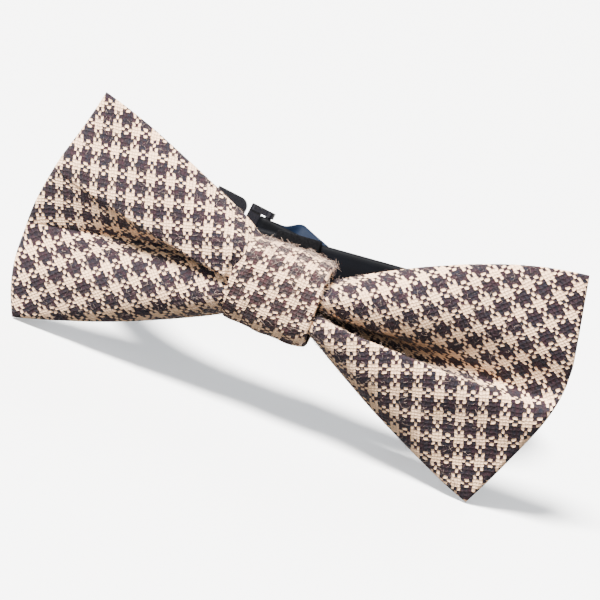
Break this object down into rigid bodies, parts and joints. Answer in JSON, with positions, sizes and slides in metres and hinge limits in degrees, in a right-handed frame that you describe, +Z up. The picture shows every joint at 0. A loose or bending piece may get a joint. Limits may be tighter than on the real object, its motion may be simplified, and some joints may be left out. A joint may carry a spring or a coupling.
{
  "type": "bow tie",
  "caption": "Pre-tied bow tie in checked wool cloth, pinched by a wrapped knot, on an adjustable ribbon neck band closed by a hook and eye.",
  "frame": {"origin": "middle of the footprint, on the surface that the bow's lower wing corners and the band's slider stand on", "axes": "+X along the bow, to the right as seen from the front; +Y from the bow towards the neck; +Z up as worn"},
  "size_m": [0.129, 0.1115, 0.06],
  "materials": {
    "check_wool": "woollen plain weave, cream and charcoal 3 and 3 check, slightly fuzzy",
    "interlining": "matte non-woven",
    "thread": "twisted sewing thread",
    "ribbon": "blue-black satin ribbon",
    "elastic": "matte knitted elastic",
    "black_metal": "gloss black enamel"
  },
  "bodies": {
    "bow_centre": {"pinch_core": "check_wool", "pinch_thread": "thread", "knot_padding": "interlining", "knot_wrap": "check_wool", "wrap_seam_stitches": "thread", "strap_keeper": "elastic", "keeper_stitches": "thread"},
    "left_wing": {"left_bow_loop": "check_wool", "left_interlining": "interlining"},
    "right_wing": {"right_bow_loop": "check_wool", "right_interlining": "interlining"},
    "band": {"neck_band": "ribbon", "eye_tack_stitches": "thread"},
    "eye": {"band_eye": "black_metal"},
    "hook": {"band_hook": "black_metal"},
    "slider": {"band_slider": "black_metal", "return_strap": "ribbon", "slider_tack_stitches": "thread"}
  },
  "joints": [
    {"name": "left_wing_flex", "type": "hinge", "parent": "bow_centre", "child": "left_wing", "pos_m": [-0.01675, -0.0465, 0.0312], "axis": [0, 0, 1], "range_deg": [-8, 10], "stiffness_Nm_per_rad": 0.03},
    {"name": "right_wing_flex", "type": "hinge", "parent": "bow_centre", "child": "right_wing", "pos_m": [0.00675, -0.0465, 0.0312], "axis": [0, 0, -1], "range_deg": [-8, 10], "stiffness_Nm_per_rad": 0.03},
    {"name": "band_slide", "type": "slide", "parent": "bow_centre", "child": "band", "axis": [0.9954, 0.0189, 0.094], "range_m": [-0.006, 0.006]},
    {"name": "eye_swing", "type": "hinge", "parent": "band", "child": "eye", "pos_m": [-0.04249, 0.05189, 0.01818], "axis": [-0.1045, -0.1966, -0.9749], "range_deg": [0, 50]},
    {"name": "hook_swing", "type": "hinge", "parent": "band", "child": "hook", "pos_m": [-0.02657, 0.05155, 0.01654], "axis": [-0.1045, -0.1966, -0.9749], "range_deg": [0, 65]},
    {"name": "slider_adjust", "type": "slide", "parent": "band", "child": "slider", "axis": [0.9945, -0.0207, -0.1025], "range_m": [-0.006, 0.006]}
  ]
}
